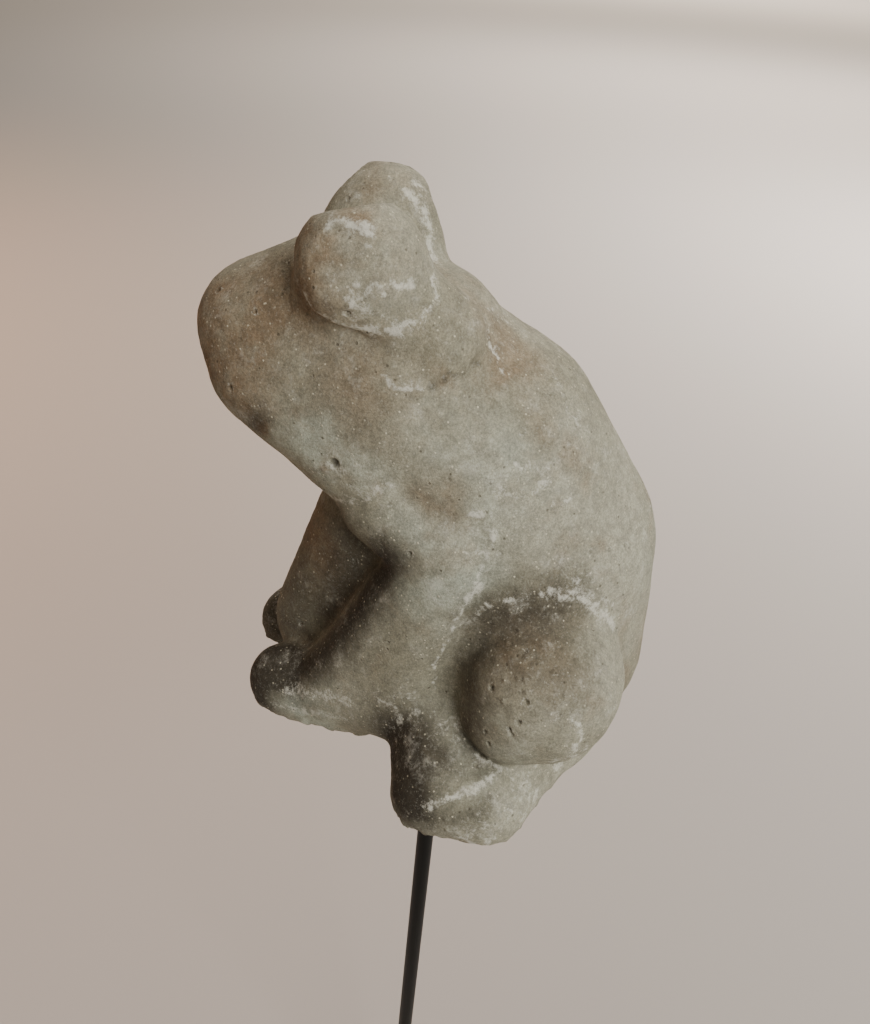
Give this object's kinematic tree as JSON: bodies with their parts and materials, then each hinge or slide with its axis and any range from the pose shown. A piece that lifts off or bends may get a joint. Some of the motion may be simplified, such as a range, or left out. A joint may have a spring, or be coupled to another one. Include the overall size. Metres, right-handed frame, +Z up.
{
  "type": "frog garden stake",
  "caption": "Sitting frog figure cast in sand cement, flat underneath, resting loosely through a socket tube on the end of an upright round steel rod with a pointed foot.",
  "frame": {"origin": "tip of the rod's point, on the rod's axis", "axes": "+Z up along the rod, the frog looks along -Y, the frog's left side is +X"},
  "size_m": [0.1018, 0.1055, 0.4295],
  "materials": {
    "sand_cement": "cast sand cement, matt, with pinholes and white bloom",
    "tube_plastic": "extruded grey plastic",
    "stopper_plastic": "moulded black plastic",
    "black_steel": "thin black paint, satin"
  },
  "bodies": {
    "rod": {"steel_rod": "black_steel"},
    "socket": {"socket_tube": "tube_plastic", "tube_stopper": "stopper_plastic"},
    "frog": {"frog_casting": "sand_cement"}
  },
  "joints": [
    {"name": "lift_off", "type": "slide", "parent": "rod", "child": "socket", "axis": [0, 0, 1], "range_m": [0, 0.06]},
    {"name": "turn_on_rod", "type": "hinge", "parent": "socket", "child": "frog", "pos_m": [0, 0, 0.33], "axis": [0, 0, 1], "continuous": true}
  ]
}
